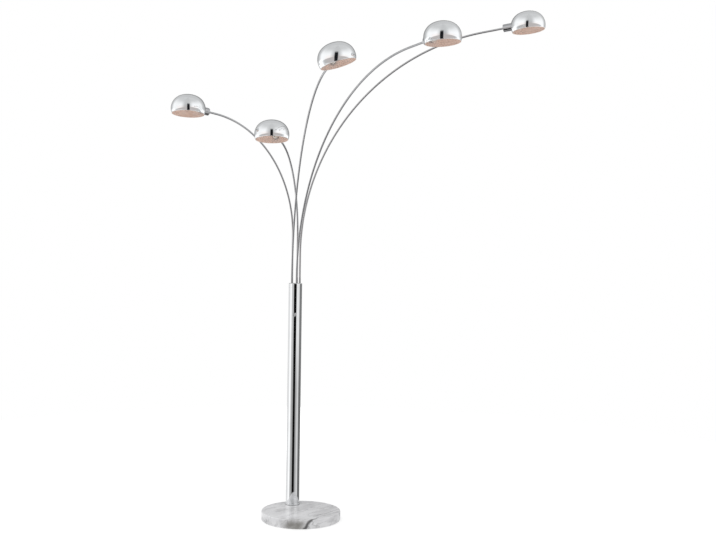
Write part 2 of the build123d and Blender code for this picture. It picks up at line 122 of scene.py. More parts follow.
class LAMP_PG_sizes(bpy.types.PropertyGroup):
    """Sizes of the pieces that are made here."""

    arms: CollectionProperty(type=LAMP_PG_arm, name="Arms", description="Course of each arm")
    arm_diameter: length("Arm Diameter", "Outside diameter of the arm tube", 8)
    arm_wall: length("Arm Wall", "Wall of the arm tube", 1)
    foot_depth: length("Foot Depth", "Length of the arm's foot below the top of the cap", 76)
    socket_depth: length("Socket Depth", "Length of the arm inside its knuckle", 18)
    knuckle_length: length("Knuckle Length", "From the arm's socket to the dome", 31)
    nipple_diameter: length("Nipple Diameter", "Hole in the dome's side", 16)
    shade_diameter: length("Shade Diameter", "Outside diameter of the dome", 134)
    shade_crown_radius: length("Shade Crown Radius", "Radius of the dome's shallow crown", 90)
    shade_shoulder_radius: length("Shade Shoulder Radius", "Radius of the dome's rounded side", 53)
    shade_wall: length("Shade Wall", "Wall of the spun dome", 1)
    rim_drop: length("Rim Drop", "Depth of the rim below the dome's widest line", 20.5)
    rim_bead: length("Rim Bead", "Radius of the rolled edge", 0.8)
    arm_above_centre: length("Arm Above Centre", "Height of the arm's axis above the dome's widest line", 7)
    holder_front: length("Holder Front", "From the arm's tip to the front of the lampholder", 59.536)
    bulb_diameter: length("Bulb Diameter", "Diameter of the capsule", 13)
    bulb_length: length("Bulb Length", "Capsule in front of the lampholder", 34)
    bulb_base_diameter: length("Bulb Base Diameter", "Pinched foot of the capsule", 9)
    bulb_wall: length("Bulb Wall", "Wall of the glass", 1)
    bulb_foot_length: length("Bulb Foot Length", "Pinched foot inside the lampholder", 8)
    bulb_nib_radius: length("Bulb Nib Radius", "Sealed tip at the nose of the glass", 1.4)
    seal_width: length("Seal Width", "How far the foot's seal stands out from the collar", 0.7)
    seal_height: length("Seal Height", "Height of the foot's seal", 1.1)
    knob_diameter: length("Knob Diameter", "Diameter of the switch knob", 16)
    knob_length: length("Knob Length", "Length of the switch knob", 13)
    knob_edge: length("Knob Edge", "Rounding of the knob's front edge", 1.4)
    knob_face_radius: length("Knob Face Radius", "Satin face inside the knob's bright edge", 6.2)
    knob_flutes: IntProperty(name="Knob Flutes", description="Grooves round the switch knob", default=18, min=3)
    flute_depth: length("Flute Depth", "Depth of the knob's grooves", 0.5)
    flute_length: length("Flute Length", "Length of the knob's grooves from its back", 10)


class LAMP_PG_finishes(bpy.types.PropertyGroup):
    """Colours of the finishes."""

    chrome: colour("Chrome", "Polished chrome plate", (0.86, 0.87, 0.88))
    # The arms' plate is the chrome colour darkened: painted shade that makes the arms read darker than the domes.
    arm_chrome: colour("Arm Chrome", "Darker plate of the arms", (0.47, 0.47, 0.48))
    copper: colour("Copper", "Satin tone inside the domes", (0.97, 0.85, 0.79))
    marble: colour("Marble", "Ground of the marble", (0.87, 0.87, 0.885))
    vein: colour("Vein", "Grey streaks in the marble", (0.40, 0.40, 0.41))
    brown_cloud: colour("Brown Cloud", "Brown-grey patch at the front edge", (0.24, 0.23, 0.21))
    dark_vein: colour("Dark Vein", "Heart of the dark vein", (0.030, 0.028, 0.028))
    steel: colour("Steel", "Zinc-plated steel", (0.60, 0.61, 0.63))
    felt: colour("Felt", "Felt under the base", (0.035, 0.035, 0.038))
    plastic: colour("Plastic", "Moulded switch body", (0.03, 0.03, 0.033))
    insulation: colour("Insulation", "Sleeve of the leads", (0.75, 0.75, 0.72))
    rubber: colour("Rubber", "Cord inlet", (0.02, 0.02, 0.02))
    ceramic: colour("Ceramic", "Lampholder and terminal block", (0.80, 0.78, 0.73))
    tungsten: colour("Tungsten", "Filament", (0.42, 0.40, 0.38))


class LAMP_PG_studio(bpy.types.PropertyGroup):
    """The white studio and its camera."""

    camera_place: spot("Camera Place", "Where the camera stands", (0.2235, -4.4963, 1.1837))
    camera_pitch: angle("Camera Pitch", "Tilt of the view above the horizon", -1.72)
    camera_roll: angle("Camera Roll", "Turn of the view about its own line", 0.90)
    lens: FloatProperty(name="Lens", description="Focal length", default=54.33, unit="CAMERA")
    floor_radius: length("Floor Radius", "Radius of the white floor", 3000)
    screen_radius: length("Screen Radius", "Radius of the low screen that the pole reflects", 1500)
    screen_height: length("Screen Height", "Height of the low screen", 950)
    flag_place: spot("Flag Place", "Where the dark card stands on the floor", (0.07, -3.25))
    flag_height: length("Flag Height", "Height of the dark card", 4600)
    key_strength: FloatProperty(name="Key Strength", description="Power of the soft lamp overhead", default=45,
                                unit="POWER")
    key_place: spot("Key Place", "Where the soft lamp hangs", (-0.8, -1.0, 3.6))
    key_aim: spot("Key Aim", "Where the soft lamp points", (0, -0.2, 0.6))
    key_size: spot("Key Size", "Width and depth of the soft lamp", (2.6, 2.2))


# ---------------------------------------------------------------- node graphs


class Socket:
    """A node's output that takes part in arithmetic: each operator adds a Math node."""

    def __init__(self, graph, socket):
        self.graph, self.socket = graph, socket

    def output(self, name):
        """Another output of the same node."""
        return Socket(self.graph, self.socket.node.outputs[name])

    def math(self, operation, *values):
        """A Math node with this value first."""
        return self.graph.add("ShaderNodeMath", {"operation": operation}, dict(enumerate((self, *values))))

    def __add__(self, other):
        return self.math("ADD", other)

    def __sub__(self, other):
        return self.math("SUBTRACT", other)

    def __mul__(self, other):
        return self.math("MULTIPLY", other)

    def __truediv__(self, other):
        return self.math("DIVIDE", other)

    def __pow__(self, other):
        return self.math("POWER", other)

    def __rsub__(self, other):
        return self.math("MULTIPLY_ADD", -1, other)

    def __abs__(self):
        return self.math("ABSOLUTE")

    __radd__, __rmul__ = __add__, __mul__

    def ramp(self, low, high, start=0.0, end=1.0):
        """Smooth step of this value from start to end, between low and high."""
        return self.graph.add("ShaderNodeMapRange", {"interpolation_type": "SMOOTHSTEP"},
                              {0: self, 1: low, 2: high, 3: start, 4: end})


class Graph:
    """A node tree, of a material, the world or a modifier."""

    def __init__(self, tree):
        self.tree = tree

    def add(self, kind, settings=None, sockets=None, output=0):
        """Adds a node: its settings first, then the values or links of its sockets."""
        node = self.tree.nodes.new(kind)
        for name, value in (settings or {}).items():
            setattr(node, name, value)
        for key, value in (sockets or {}).items():
            self.put(node.inputs[key], value)
        return Socket(self, node.outputs[output]) if len(node.outputs) else node

    def put(self, target, value):
        """Links a socket, or sets its value."""
        if isinstance(value, Socket):
            self.tree.links.new(value.socket, target)
        elif target.type == "RGBA" and len(value) == 3:
            target.default_value = (*value, 1)
        else:
            target.default_value = value

    def noise(self, vector, scale, detail=2.0, roughness=0.5, output=0):
        """Noise at a coordinate; scale is in steps to the metre, or to the unit of a stretched coordinate."""
        return self.add("ShaderNodeTexNoise", None, {
            "Vector": vector, "Scale": scale, "Detail": detail, "Roughness": roughness}, output)

    def mix(self, share, first, second):
        """Blend of two colours."""
        return self.add("ShaderNodeMix", {"data_type": "RGBA"}, {0: share, 6: first, 7: second}, 2)

    def vector(self, operation, *values, output=0):
        """A Vector Math node."""
        return self.add("ShaderNodeVectorMath", {"operation": operation}, dict(enumerate(values)), output)

    def stretch(self, vector, size, turn=(0, 0, 0)):
        """A pattern's coordinate, turned in degrees, then measured in steps of a size in millimetres."""
        return self.add("ShaderNodeMapping", {"vector_type": "TEXTURE"}, {
            "Vector": vector, "Rotation": [radians(t) for t in turn], "Scale": [s * MM for s in size]})

    def plane(self, vector, normal, distance):
        """Distance of a place from a plane, in millimetres."""
        return self.vector("DOT_PRODUCT", vector, normal, output="Value") * (1 / MM) - distance

    def xyz(self, vector):
        """The three parts of a vector."""
        split = self.add("ShaderNodeSeparateXYZ", None, {0: vector})
        return split, split.output("Y"), split.output("Z")


class Finish(Graph):
    """A material with one Principled shader."""

    def __init__(self, name, **constants):
        self.material = bpy.data.materials.new(name)
        self.material.use_nodes = True
        super().__init__(self.material.node_tree)
        self.shader = self.tree.nodes["Principled BSDF"]
        self.place = self.add("ShaderNodeTexCoord", output="Object")
        self.set(**constants)

    def set(self, **sockets):
        """Sets or links the shader's sockets, with spaces written as underscores."""
        for name, value in sockets.items():
            self.put(self.shader.inputs[name.replace("_", " ")], value)

    def bump(self, height, strength, distance):
        """Raises the surface by a height map, up to a distance in millimetres."""
        self.set(Normal=self.add("ShaderNodeBump", None, {
            "Height": height, "Strength": strength, "Distance": distance * MM}, "Normal"))

    def rings(self, scale, detail):
        """Noise that changes only along a turned piece's outline, as the marks of spinning do."""
        along = self.xyz(self.add("ShaderNodeUVMap", {"uv_map": "UVMap"}))[1]
        return self.add("ShaderNodeTexNoise", {"noise_dimensions": "1D"},
                        {"W": along * scale, "Scale": 1.0, "Detail": detail})


# ---------------------------------------------------------------- finishes


def dimmed(tint, share):
    """A share of a colour's light."""
    return [part * share for part in tint]


def plated(name, tint, cloud_scale):
    """Polished metal with a faint cloud in its colour: the finish and the cloud."""
    finish = Finish(name, Metallic=1.0)
    cloud = finish.noise(finish.place, cloud_scale, 4, 0.6)
    finish.set(Base_Color=finish.mix(cloud.ramp(0.35, 0.75), tint, dimmed(tint, 0.95)))
    return finish, cloud


def chrome_finish(name, tint, haze=0.0):
    """Bright plate: a clear mirror with faint haze, handling marks and a breath of ripple."""
    finish, cloud = plated(name, tint, 22)
    marks = finish.noise(finish.stretch(finish.place, (3, 3, 18)), 1, 3, 0.7).ramp(0.58, 0.78)
    finish.set(Roughness=0.025 + haze + cloud * 0.035 + marks * 0.03)
    finish.bump(finish.noise(finish.place, 160, 2), 0.06, 0.02)
    return finish.material


def spun_finish(name, tint):
    """Polished dome: chrome with the faint rings that spinning leaves round its axis."""
    finish, cloud = plated(name, tint, 26)
    rings = finish.rings(2600, 2)
    finish.set(Roughness=0.03 + cloud * 0.035 + rings * 0.02)
    finish.bump(rings, 0.08, 0.01)
    return finish.material


def copper_finish(name, tint):
    """Satin copper lacquer inside the dome, with faint spinning rings and a cloudy tone."""
    finish = Finish(name, Metallic=0.0, Specular_IOR_Level=0.15)
    cloud = finish.noise(finish.place, 30, 3, 0.6)
    deeper = [part * share for part, share in zip(tint, (0.93, 0.86, 0.81))]
    share = cloud.ramp(0.3, 0.75) * 0.8 + finish.rings(1400, 3).ramp(0.4, 0.6) * 0.2
    finish.set(Base_Color=finish.mix(share, tint, deeper))
    finish.set(Roughness=0.44 + cloud * 0.12)
    return finish.material


def marble_finish(name, ground, vein, brown_cloud, dark_vein):
    """Polished marble: slanting grey streaks, thin veins, and a dark vein beside a brown patch at the front."""
    finish = Finish(name, Coat_Roughness=0.04, IOR=1.5)
    # The whole pattern wavers by up to 11 mm.
    wander = finish.noise(finish.place, 26, 4, 0.6, output="Color")
    drift = finish.vector("SUBTRACT", wander, (0.5, 0.5, 0.5))
    bent = finish.vector("MULTIPLY_ADD", drift, (0.022, 0.022, 0.022), finish.place)
    cloud = finish.noise(finish.stretch(bent, (150, 42, 60), (24, 0, 44)), 1.0, 5, 0.58)
    streak = finish.noise(finish.stretch(bent, (120, 11, 22), (30, 0, 46)), 1.0, 5, 0.6)
    fine = finish.noise(finish.stretch(bent, (30, 6, 9), (30, 0, 46)), 1.0, 4, 0.6)
    ridge = finish.noise(finish.stretch(bent, (260, 55, 80), (24, 0, 48)), 1.0, 2, 0.5)
    threads = 1.0 - abs(ridge - 0.5).ramp(0.0, 0.016)
    x, y, z = finish.xyz(bent)
    tone = finish.mix(cloud.ramp(0.40, 0.68) * 0.50, ground, dimmed(ground, 0.62))
    tone = finish.mix(streak.ramp(0.50, 0.72) * 0.42, tone, vein)
    tone = finish.mix(threads * 0.35, tone, dimmed(vein, 0.6))
    # A thin vein crosses the right of the top.
    thin = 1.0 - abs(finish.plane(bent, (0.74, -0.594, 0.316), 115.6)).ramp(0.4, 2.6)
    tone = finish.mix(thin * x.ramp(0.055, 0.075) * 0.80, tone, dimmed(vein, 0.45))
    # The brown patch lies on the side at the front.
    patch = (1.0 - abs(x + 0.018).ramp(0.010, 0.068)) * y.ramp(-0.120, -0.158) * z.ramp(0.044, 0.020, 0.25, 1.0)
    tone = finish.mix(patch * cloud.ramp(0.30, 0.62, 0.7, 0.95), tone, brown_cloud)
    # The dark vein climbs the side beside it and runs on thinly over the top.
    width = y.ramp(-0.152, -0.110, 7.6, 1.6)
    dark = 1.0 - (abs(finish.plane(bent, (0.763, -0.455, -0.460), 91.0)) / width).ramp(0.20, 1.10)
    dark = dark * y.ramp(-0.035, -0.085)
    tone = finish.mix(dark * y.ramp(-0.150, -0.120, 0.82, 0.52), tone, dark_vein)
    finish.set(Base_Color=tone, Roughness=0.24 + fine * 0.10, Coat_Weight=0.06 + cloud * 0.10)
    finish.bump(fine, 0.05, 0.02)
    return finish.material


def grained_finish(name, tint, grain=400, depth=0.04, contrast=0.2, **constants):
    """Plain material with a fine grain in its colour, roughness and surface."""
    rough = constants.pop("Roughness", 0.5)
    finish = Finish(name, **constants)
    fleck = finish.noise(finish.place, grain, 4, 0.65)
    cloud = finish.noise(finish.place, grain * 0.07, 3)
    finish.set(Base_Color=finish.mix(fleck.ramp(0.35, 0.7), tint, dimmed(tint, 1 - contrast)))
    finish.set(Roughness=rough * 0.85 + cloud * rough * 0.3)
    finish.bump(fleck, 0.4, depth)
    return finish.material


def knob_finish(name, tint, axis, face_radius):
    """Knob with a satin face inside a bright turned edge; the axis runs through (x, z) along Y."""
    finish = Finish(name)
    x, _, z = finish.xyz(finish.place)
    east, rise = x - axis[0], z - axis[1]
    edge = ((east * east + rise * rise) ** 0.5).ramp(face_radius - 0.6 * MM, face_radius)
    grain = finish.noise(finish.place, 900, 4, 0.65)
    finish.set(Base_Color=finish.mix(grain.ramp(0.35, 0.7), dimmed(tint, 0.72), dimmed(tint, 0.66)))
    finish.set(Metallic=0.55 + edge * 0.45, Roughness=0.42 - edge * 0.34 + grain * 0.05)
    finish.bump(grain, 0.3, 0.01)
    return finish.material


def glass_finish(name):
    """Clear hard glass with a faint waviness from blowing."""
    finish = Finish(name, Base_Color=(0.97, 0.98, 0.98), Transmission_Weight=1.0, IOR=1.47)
    wave = finish.noise(finish.place, 240, 2)
    finish.set(Roughness=0.005 + wave * 0.02)
    finish.bump(wave, 0.1, 0.02)
    return finish.material


finishes = {}


def make_finishes(sizes):
    tints = bpy.context.scene.lamp_finishes
    tint = {name: tuple(getattr(tints, name)) for name in LAMP_PG_finishes.__annotations__}
    middle = (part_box("switch_knob")[0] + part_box("switch_knob")[1]) / 2
    knob_axis = (middle.x, middle.z)
    finishes.update({
        "chrome": chrome_finish("chrome_plate", tint["chrome"]),
        # The arms and knuckles get a darker copy of the chrome: painted shade.
        "arm_chrome": chrome_finish("arm_plate", tint["arm_chrome"], 0.02),
        "knob_chrome": knob_finish("satin_knob", tint["chrome"], knob_axis, sizes.knob_face_radius),
        "chrome_shade": spun_finish("spun_chrome", tint["chrome"]),
        "copper": copper_finish("satin_copper", tint["copper"]),
        "marble": marble_finish("polished_marble", tint["marble"], tint["vein"], tint["brown_cloud"],
                                tint["dark_vein"]),
        "steel": grained_finish("zinc_plate", tint["steel"], 900, 0.02, 0.12, Metallic=1.0, Roughness=0.34),
        "felt": grained_finish("felt", tint["felt"], 1500, 0.3, 0.5, Roughness=0.95, Sheen_Weight=0.3),
        "black_plastic": grained_finish("moulded_plastic", tint["plastic"], 1800, 0.03, 0.1, Roughness=0.42),
        "insulation": grained_finish("lead_sleeve", tint["insulation"], 500, 0.01, 0.08, Roughness=0.28),
        "rubber": grained_finish("inlet_rubber", tint["rubber"], 1200, 0.02, 0.2, Roughness=0.6),
        "ceramic": grained_finish("steatite", tint["ceramic"], 1100, 0.02, 0.08, Roughness=0.38),
        "tungsten": grained_finish("tungsten", tint["tungsten"], 4000, 0.005, 0.2, Metallic=1.0, Roughness=0.4),
        "glass": glass_finish("capsule_glass"),
    })


# ---------------------------------------------------------------- meshes


def add_object(name, data):
    item = bpy.data.objects.new(name, data)
    bpy.context.scene.collection.objects.link(item)
    return item


def carry(item, body, slot, *nodes):
    """Gives a finished piece its body and hides the CAD nodes it stands for; the slot is not used."""
    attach(item, body)
    if nodes:
        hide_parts(*nodes)


def arc_points(centre, radius, start, end, steps):
    """Points of an arc, its angles in degrees."""
    return [(centre[0] + radius * cos(radians(start + (end - start) * k / steps)),
             centre[1] + radius * sin(radians(start + (end - start) * k / steps))) for k in range(steps + 1)]


def rounded(corners, steps=5):
    """Profile with rounded corners, from rows of r, z and the corner's radius in millimetres."""
    points = []
    for (ax, ay, _), (bx, by, size), (cx, cy, _) in zip(corners, corners[1:], corners[2:]):
        a, b, c = Vector((ax, ay)), Vector((bx, by)), Vector((cx, cy))
        back, on = (a - b).normalized(), (c - b).normalized()
        spread = back.angle(on)
        if size <= 0 or spread > pi - 1e-4:
            points.append((bx, by))
            continue
        reach = min(size * MM / tan(spread / 2), (a - b).length, (c - b).length)
        first, last = b + back * reach, b + on * reach
        for k in range(steps + 1):
            t = k / steps
            p = first * (1 - t) ** 2 + b * 2 * t * (1 - t) + last * t ** 2
            points.append((p.x, p.y))
    return [tuple(corners[0][:2]), *points, tuple(corners[-1][:2])]


def turned(name, profile, sides, place, looped=False, tags=None):
    """Mesh turned from an (r, z) profile about the local Z axis of a place, with a UV map in metres."""
    mesh = bmesh.new()
    layer = mesh.loops.layers.uv.new("UVMap")
    rows = []
    for r, z in profile:
        if r < 1e-7:
            rows.append([mesh.verts.new((0, 0, z))] * sides)
        else:
            rows.append([mesh.verts.new((r * cos(tau * k / sides), r * sin(tau * k / sides), z))
                         for k in range(sides)])
    lengths = [0.0]
    for (r, z), (s, w) in zip(profile, profile[1:]):
        lengths.append(lengths[-1] + hypot(s - r, w - z))
    pairs = list(zip(range(len(rows)), range(1, len(rows))))
    if looped:
        pairs.append((len(rows) - 1, 0))
    for index, (low, high) in enumerate(pairs):
        for k in range(sides):
            j = (k + 1) % sides
            corners = [(rows[low][k], k, low), (rows[low][j], k + 1, low),
                       (rows[high][j], k + 1, high), (rows[high][k], k, high)]
            unique = []
            for corner in corners:
                if corner[0] not in [u[0] for u in unique]:
                    unique.append(corner)
            if len(unique) < 3:
                continue
            face = mesh.faces.new([u[0] for u in unique])
            face.smooth = True
            face.material_index = tags[index] if tags else 0
            for loop, (_, turn, row) in zip(face.loops, unique):
                loop[layer].uv = (turn / sides, lengths[row])
    bmesh.ops.recalc_face_normals(mesh, faces=mesh.faces)
    data = bpy.data.meshes.new(name)
    mesh.to_mesh(data)
    mesh.free()
    data.transform(place)
    return data


def sharpen(data, limit=35):
    """Smooth shading, with edges sharper than a limit in degrees kept crisp."""
    data.shade_smooth()
    data.set_sharp_from_angle(angle=radians(limit))


def plain_mesh(item, name):
    """The evaluated result of an object's modifiers as a plain mesh; the object goes."""
    bpy.context.view_layer.update()
    graph = bpy.context.evaluated_depsgraph_get()
    data = bpy.data.meshes.new_from_object(item.evaluated_get(graph), preserve_all_data_layers=True, depsgraph=graph)
    data.name = name
    bpy.data.objects.remove(item)
    return data


# ---------------------------------------------------------------- places on the arms


class Head:
    """Frame of one arm's tip: along the tube, up the shade's axis, and the places beyond it."""

    def __init__(self, number, sizes):
        course = sizes.arms[number - 1]
        swivel, roll = joints[f"arm_{number}_swivel"], joints[f"shade_{number}_roll"]
        self.course = course
        self.foot, self.tip = Vector(swivel["pos_m"]), Vector(roll["pos_m"])
        out = Vector((cos(course.heading), sin(course.heading), 0))
        side = out.cross(Vector((0, 0, 1)))
        bend = course.bend_angle
        self.along = out * sin(bend) + Vector((0, 0, cos(bend)))
        level_up = side.cross(self.along)
        self.up = level_up * cos(course.shade_roll) + side * sin(course.shade_roll)
        tip = (self.foot + out * course.bend_radius * (1 - cos(bend))
               + Vector((0, 0, course.rise + course.bend_radius * sin(bend))) + self.along * course.tip_run)
        if (tip - self.tip).length > 0.2 * MM:
            raise RuntimeError(f"arm {number} doesn't end where its shade joint is")
        shoulder = sizes.shade_shoulder_radius
        self.drop = sizes.arm_above_centre
        self.shade_centre = (sizes.knuckle_length + sizes.shade_diameter / 2 - shoulder
                             + sqrt(shoulder ** 2 - self.drop ** 2))

    def place(self, origin, axis, across):
        """Matrix whose Z is the axis and X lies across it."""
        z = axis.normalized()
        x = (across - z * across.dot(z)).normalized()
        y = z.cross(x)
        return Matrix(((x.x, y.x, z.x, origin.x), (x.y, y.y, z.y, origin.y), (x.z, y.z, z.z, origin.z), (0, 0, 0, 1)))

    def on_arm(self, distance):
        """Place on the arm's axis beyond the tip, with Z along it."""
        return self.place(self.tip + self.along * distance, self.along, self.up)

    def dome(self):
        """Place at the dome's centre, with Z up its axis and X along the arm."""
        centre = self.tip + self.along * self.shade_centre - self.up * self.drop
        return self.place(centre, self.up, self.along)


# ---------------------------------------------------------------- geometry nodes


class Shape(Graph):
    """A Geometry Nodes tree with named inputs, which ends in Realize Instances and Set Material."""

    KINDS = {"length": "NodeSocketFloat", "count": "NodeSocketInt", "vector": "NodeSocketVector",
             "material": "NodeSocketMaterial"}

    def __init__(self, name, **inputs):
        super().__init__(bpy.data.node_groups.new(name, "GeometryNodeTree"))
        self.name = name
        face = self.tree.interface
        face.new_socket("Geometry", in_out="OUTPUT", socket_type="NodeSocketGeometry")
        self.keys = {}
        for label, kind in {**inputs, "Finish": "material"}.items():
            title = label.replace("_", " ")
            self.keys[title] = face.new_socket(title, in_out="INPUT", socket_type=self.KINDS[kind]).identifier
        self.entry = self.tree.nodes.new("NodeGroupInput")

    def value(self, title):
        return Socket(self, self.entry.outputs[title])

    def tube(self, curve, radius, sides):
        """Round tube or wire along a curve."""
        circle = self.add("GeometryNodeCurvePrimitiveCircle", None, {"Resolution": sides, "Radius": radius})
        return self.add("GeometryNodeCurveToMesh", None, {"Curve": curve, "Profile Curve": circle})

    def straight(self, start, end):
        """Straight line between two places."""
        return self.add("GeometryNodeCurvePrimitiveLine", {"mode": "POINTS"}, {"Start": start, "End": end})

    def moved(self, geometry, position):
        """Geometry with its points set to a position."""
        return self.add("GeometryNodeSetPosition", None, {"Geometry": geometry, "Position": position})

    def combine(self, x, y, z):
        return self.add("ShaderNodeCombineXYZ", None, {0: x, 1: y, 2: z})

    def end(self, geometry):
        smooth = self.add("GeometryNodeSetShadeSmooth", None, {"Geometry": geometry})
        real = self.add("GeometryNodeRealizeInstances", None, {"Geometry": smooth})
        painted = self.add("GeometryNodeSetMaterial", None, {"Geometry": real, "Material": self.value("Finish")})
        self.add("NodeGroupOutput", None, {"Geometry": painted})

    def make(self, name, wall=0.0, **values):
        """Runs the tree once with these inputs and gives the result as a plain mesh."""
        item = add_object(name, bpy.data.meshes.new(name))
        modifier = item.modifiers.new(self.name, "NODES")
        modifier.node_group = self.tree
        for label, value in values.items():
            modifier[self.keys[label.replace("_", " ")]] = value
        if wall:
            solid = item.modifiers.new("wall", "SOLIDIFY")
            solid.thickness, solid.offset, solid.use_quality_normals = wall, -1, True
        return plain_mesh(item, name)


def arm_shape():
    """Tube along an arm: a straight foot and rise, one bend and a straight run."""
    shape = Shape("bent_arm", Foot="vector", Foot_Depth="length", Rise="length", Bend_Radius="length",
                  Bend_Angle="length", Straight_End="length", Heading="length", Radius="length")
    get = shape.value
    rise, bend, radius = get("Rise"), get("Bend Angle"), get("Bend Radius")
    fine = shape.add("GeometryNodeResampleCurve", {"mode": "COUNT"}, {
        "Curve": shape.straight((0, 0, 0), (0, 0, 1)), "Count": ARM_STEPS})
    share = shape.add("GeometryNodeSplineParameter")
    total = get("Foot Depth") + rise + radius * bend + get("Straight End")
    run = share * total - get("Foot Depth")
    turn = ((run - rise) / radius).math("MAXIMUM", 0).math("MINIMUM", bend)
    beyond = (run - rise - radius * bend).math("MAXIMUM", 0)
    out = radius - radius * turn.math("COSINE") + beyond * turn.math("SINE")
    height = run.math("MINIMUM", rise) + radius * turn.math("SINE") + beyond * turn.math("COSINE")
    heading = get("Heading")
    spot = shape.combine(out * heading.math("COSINE"), out * heading.math("SINE"), height)
    course = shape.moved(fine, shape.vector("ADD", spot, get("Foot")))
    shape.end(shape.tube(course, get("Radius"), ARM_SIDES))
    return shape


def knob_shape():
    """Fluted knob: a cylinder whose side is grooved by a rule and whose front edge is rounded."""
    shape = Shape("fluted_knob", Diameter="length", Length="length", Edge="length", Flutes="count",
                  Flute_Depth="length", Flute_Length="length")
    get = shape.value
    radius = get("Diameter") * 0.5
    grid = shape.add("GeometryNodeMeshCylinder", {"fill_type": "NGON"}, {
        "Vertices": 216, "Side Segments": 26, "Fill Segments": 8, "Radius": 1.0, "Depth": 1.0}, "Mesh")
    x, y, z = shape.xyz(shape.add("GeometryNodeInputPosition"))
    reach = (x * x + y * y) ** 0.5
    around = y.math("ARCTAN2", x)
    height = (z + 0.5) * get("Length")
    past = (height - get("Length") + get("Edge")).math("MAXIMUM", 0)
    pinch = get("Edge") - (get("Edge") * get("Edge") - past * past).math("MAXIMUM", 0) ** 0.5
    wave = (around * get("Flutes")).math("COSINE")
    groove = wave.ramp(0.55, 1.0) * get("Flute Depth") * (1.0 - height.ramp(
        get("Flute Length") - 0.0006, get("Flute Length")))
    outer = radius - pinch - groove
    spot = shape.combine(x * outer, y * outer, height)
    shape.end(shape.moved(grid, spot))
    return shape


def filament_shape():
    """Coiled filament between two straight legs."""
    shape = Shape("filament", Turns="length", Coil_Radius="length", Coil_Length="length", Wire="length",
                  Leg="length", Leg_Gap="length")
    get = shape.value
    coil = shape.add("GeometryNodeCurveSpiral", None, {
        "Resolution": 14, "Rotations": get("Turns"), "Start Radius": get("Coil Radius"),
        "End Radius": get("Coil Radius"), "Height": get("Coil Length")})
    parts = [shape.tube(coil, get("Wire"), 6)]
    for side in (-1, 1):
        reach = get("Leg Gap") * (side * 0.5)
        top = get("Coil Length") if side > 0 else get("Coil Length") * 0.0
        low = shape.combine(reach, 0.0, get("Leg") * -1.0)
        knee = shape.combine(reach, 0.0, top)
        join = shape.combine(get("Coil Radius") * side * 0.9, 0.0, top)
        for ends in ((low, knee), (knee, join)):
            parts.append(shape.tube(shape.straight(*ends), get("Wire") * 1.8, 8))
    joined = shape.tree.nodes.new("GeometryNodeJoinGeometry")
    for part in parts:
        shape.tree.links.new(part.socket, joined.inputs[0])
    shape.end(Socket(shape, joined.outputs[0]))
    return shape


# ---------------------------------------------------------------- pieces


class LampOperator:
    """Shared by the operators that make a piece."""

    bl_options = {"REGISTER", "UNDO"}

    def execute(self, context):
        self.make(context.scene.lamp_sizes)
        return {"FINISHED"}


class LAMP_OT_finishes(LampOperator, bpy.types.Operator):
    """Make the finishes and put them on the CAD nodes"""

    bl_idname, bl_label = "lamp.finishes", "Finishes"

    def make(self, sizes):
        make_finishes(sizes)
        slots = {part["node"]: part["material_slot"] for part in frame["record"]["subparts"]}
        for name, node in frame["nodes"].items():
            # The knuckles have the arms' plate, darkened as painted shade.
            finish = finishes["arm_chrome" if name.startswith("knuckle") else slots[name]]
            for slot in node.material_slots:
                slot.material = finish


class LAMP_OT_arms(LampOperator, bpy.types.Operator):
    """Bend the five arm tubes"""

    bl_idname, bl_label = "lamp.arms", "Arms"

    def make(self, sizes):
        shape = arm_shape()
        for number in ARMS:
            head = Head(number, sizes)
            course = head.course
            data = shape.make(
                f"arm_{number}", wall=sizes.arm_wall, Foot=tuple(head.foot), Foot_Depth=sizes.foot_depth,
                Rise=course.rise, Bend_Radius=course.bend_radius, Bend_Angle=course.bend_angle,
                Straight_End=course.tip_run + sizes.socket_depth, Heading=course.heading,
                Radius=sizes.arm_diameter / 2 - SHY, Finish=finishes["arm_chrome"])
            sharpen(data)
            carry(add_object(f"bent_arm_{number}", data), f"arm_{number}", "chrome", f"arm_{number}_tube")


